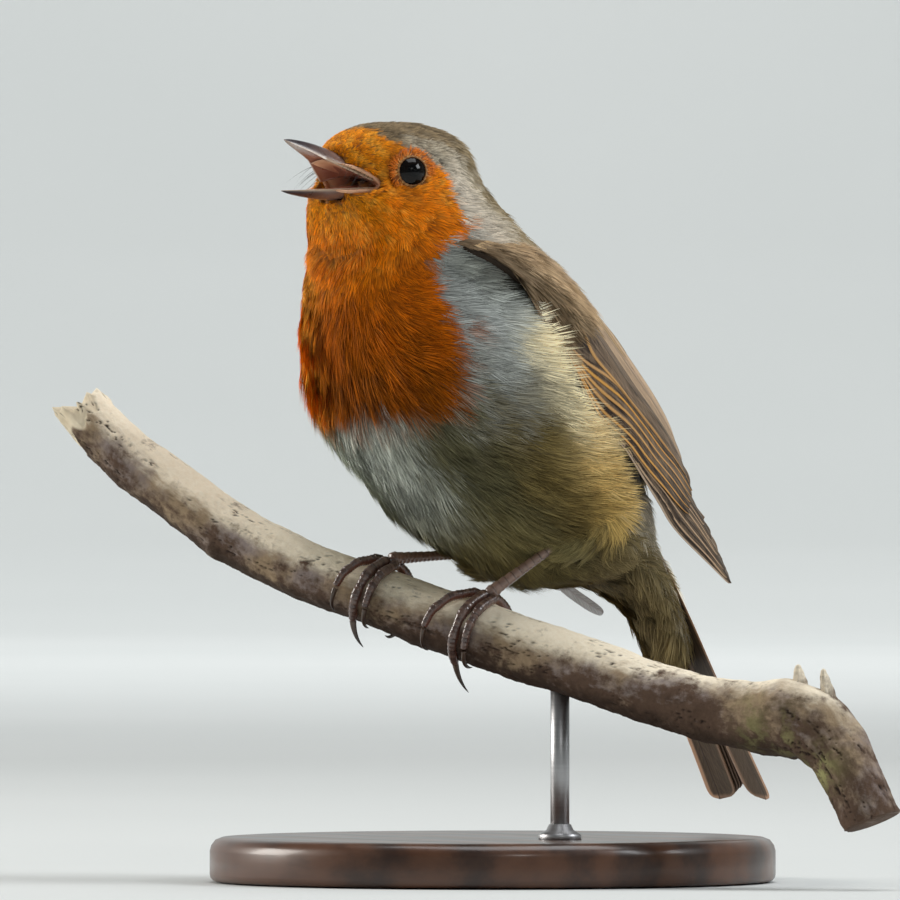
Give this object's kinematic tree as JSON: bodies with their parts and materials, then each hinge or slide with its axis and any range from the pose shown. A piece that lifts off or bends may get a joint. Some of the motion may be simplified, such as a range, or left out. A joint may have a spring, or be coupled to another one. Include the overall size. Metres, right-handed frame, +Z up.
{
  "type": "perched robin display model",
  "caption": "Life-size still model of a small songbird with an orange face and breast, singing on a cut branch held by a plain round stand.",
  "frame": {"origin": "centre of the round stand's flat underside", "axes": "+Z up, the bird's body faces -Y and its left side is +X; -Z is the underside's outward normal"},
  "size_m": [0.1386, 0.0943, 0.1204],
  "materials": {
    "orange_feather": "soft matt orange plumage",
    "buff_feather": "soft matt buff and white plumage",
    "olive_feather": "soft matt olive-brown plumage",
    "wing_feather": "close brown feathers",
    "flight_feather": "stiff dark brown feathers with buff edges",
    "bill_horn": "smooth dark horn",
    "eye_gloss": "polished black-brown eye",
    "leg_skin": "scaled reddish-brown skin",
    "claw_horn": "smooth dark horn",
    "perch_bark": "weathered grey-beige bark",
    "stand_wood": "dark stained, satin",
    "stand_steel": "plain round rod"
  },
  "bodies": {
    "root": {"head": "orange_feather", "neck": "orange_feather", "trunk": "buff_feather", "rump": "olive_feather", "eye_left": "eye_gloss", "eye_right": "eye_gloss", "bill_upper": "bill_horn", "bill_lower": "bill_horn", "wing_left_coverts": "wing_feather", "wing_left_flight": "flight_feather", "wing_right_coverts": "wing_feather", "wing_right_flight": "flight_feather", "tail": "flight_feather", "thigh_left": "buff_feather", "thigh_right": "buff_feather", "shank_left": "leg_skin", "shank_right": "leg_skin", "toe_left_inner": "leg_skin", "toe_left_middle": "leg_skin", "toe_left_outer": "leg_skin", "toe_left_hind": "leg_skin", "claw_left_inner": "claw_horn", "claw_left_middle": "claw_horn", "claw_left_outer": "claw_horn", "claw_left_hind": "claw_horn", "toe_right_inner": "leg_skin", "toe_right_middle": "leg_skin", "toe_right_outer": "leg_skin", "toe_right_hind": "leg_skin", "claw_right_inner": "claw_horn", "claw_right_middle": "claw_horn", "claw_right_outer": "claw_horn", "claw_right_hind": "claw_horn", "perch": "perch_bark", "stand_base": "stand_wood", "stand_rod": "stand_steel"}
  },
  "joints": []
}
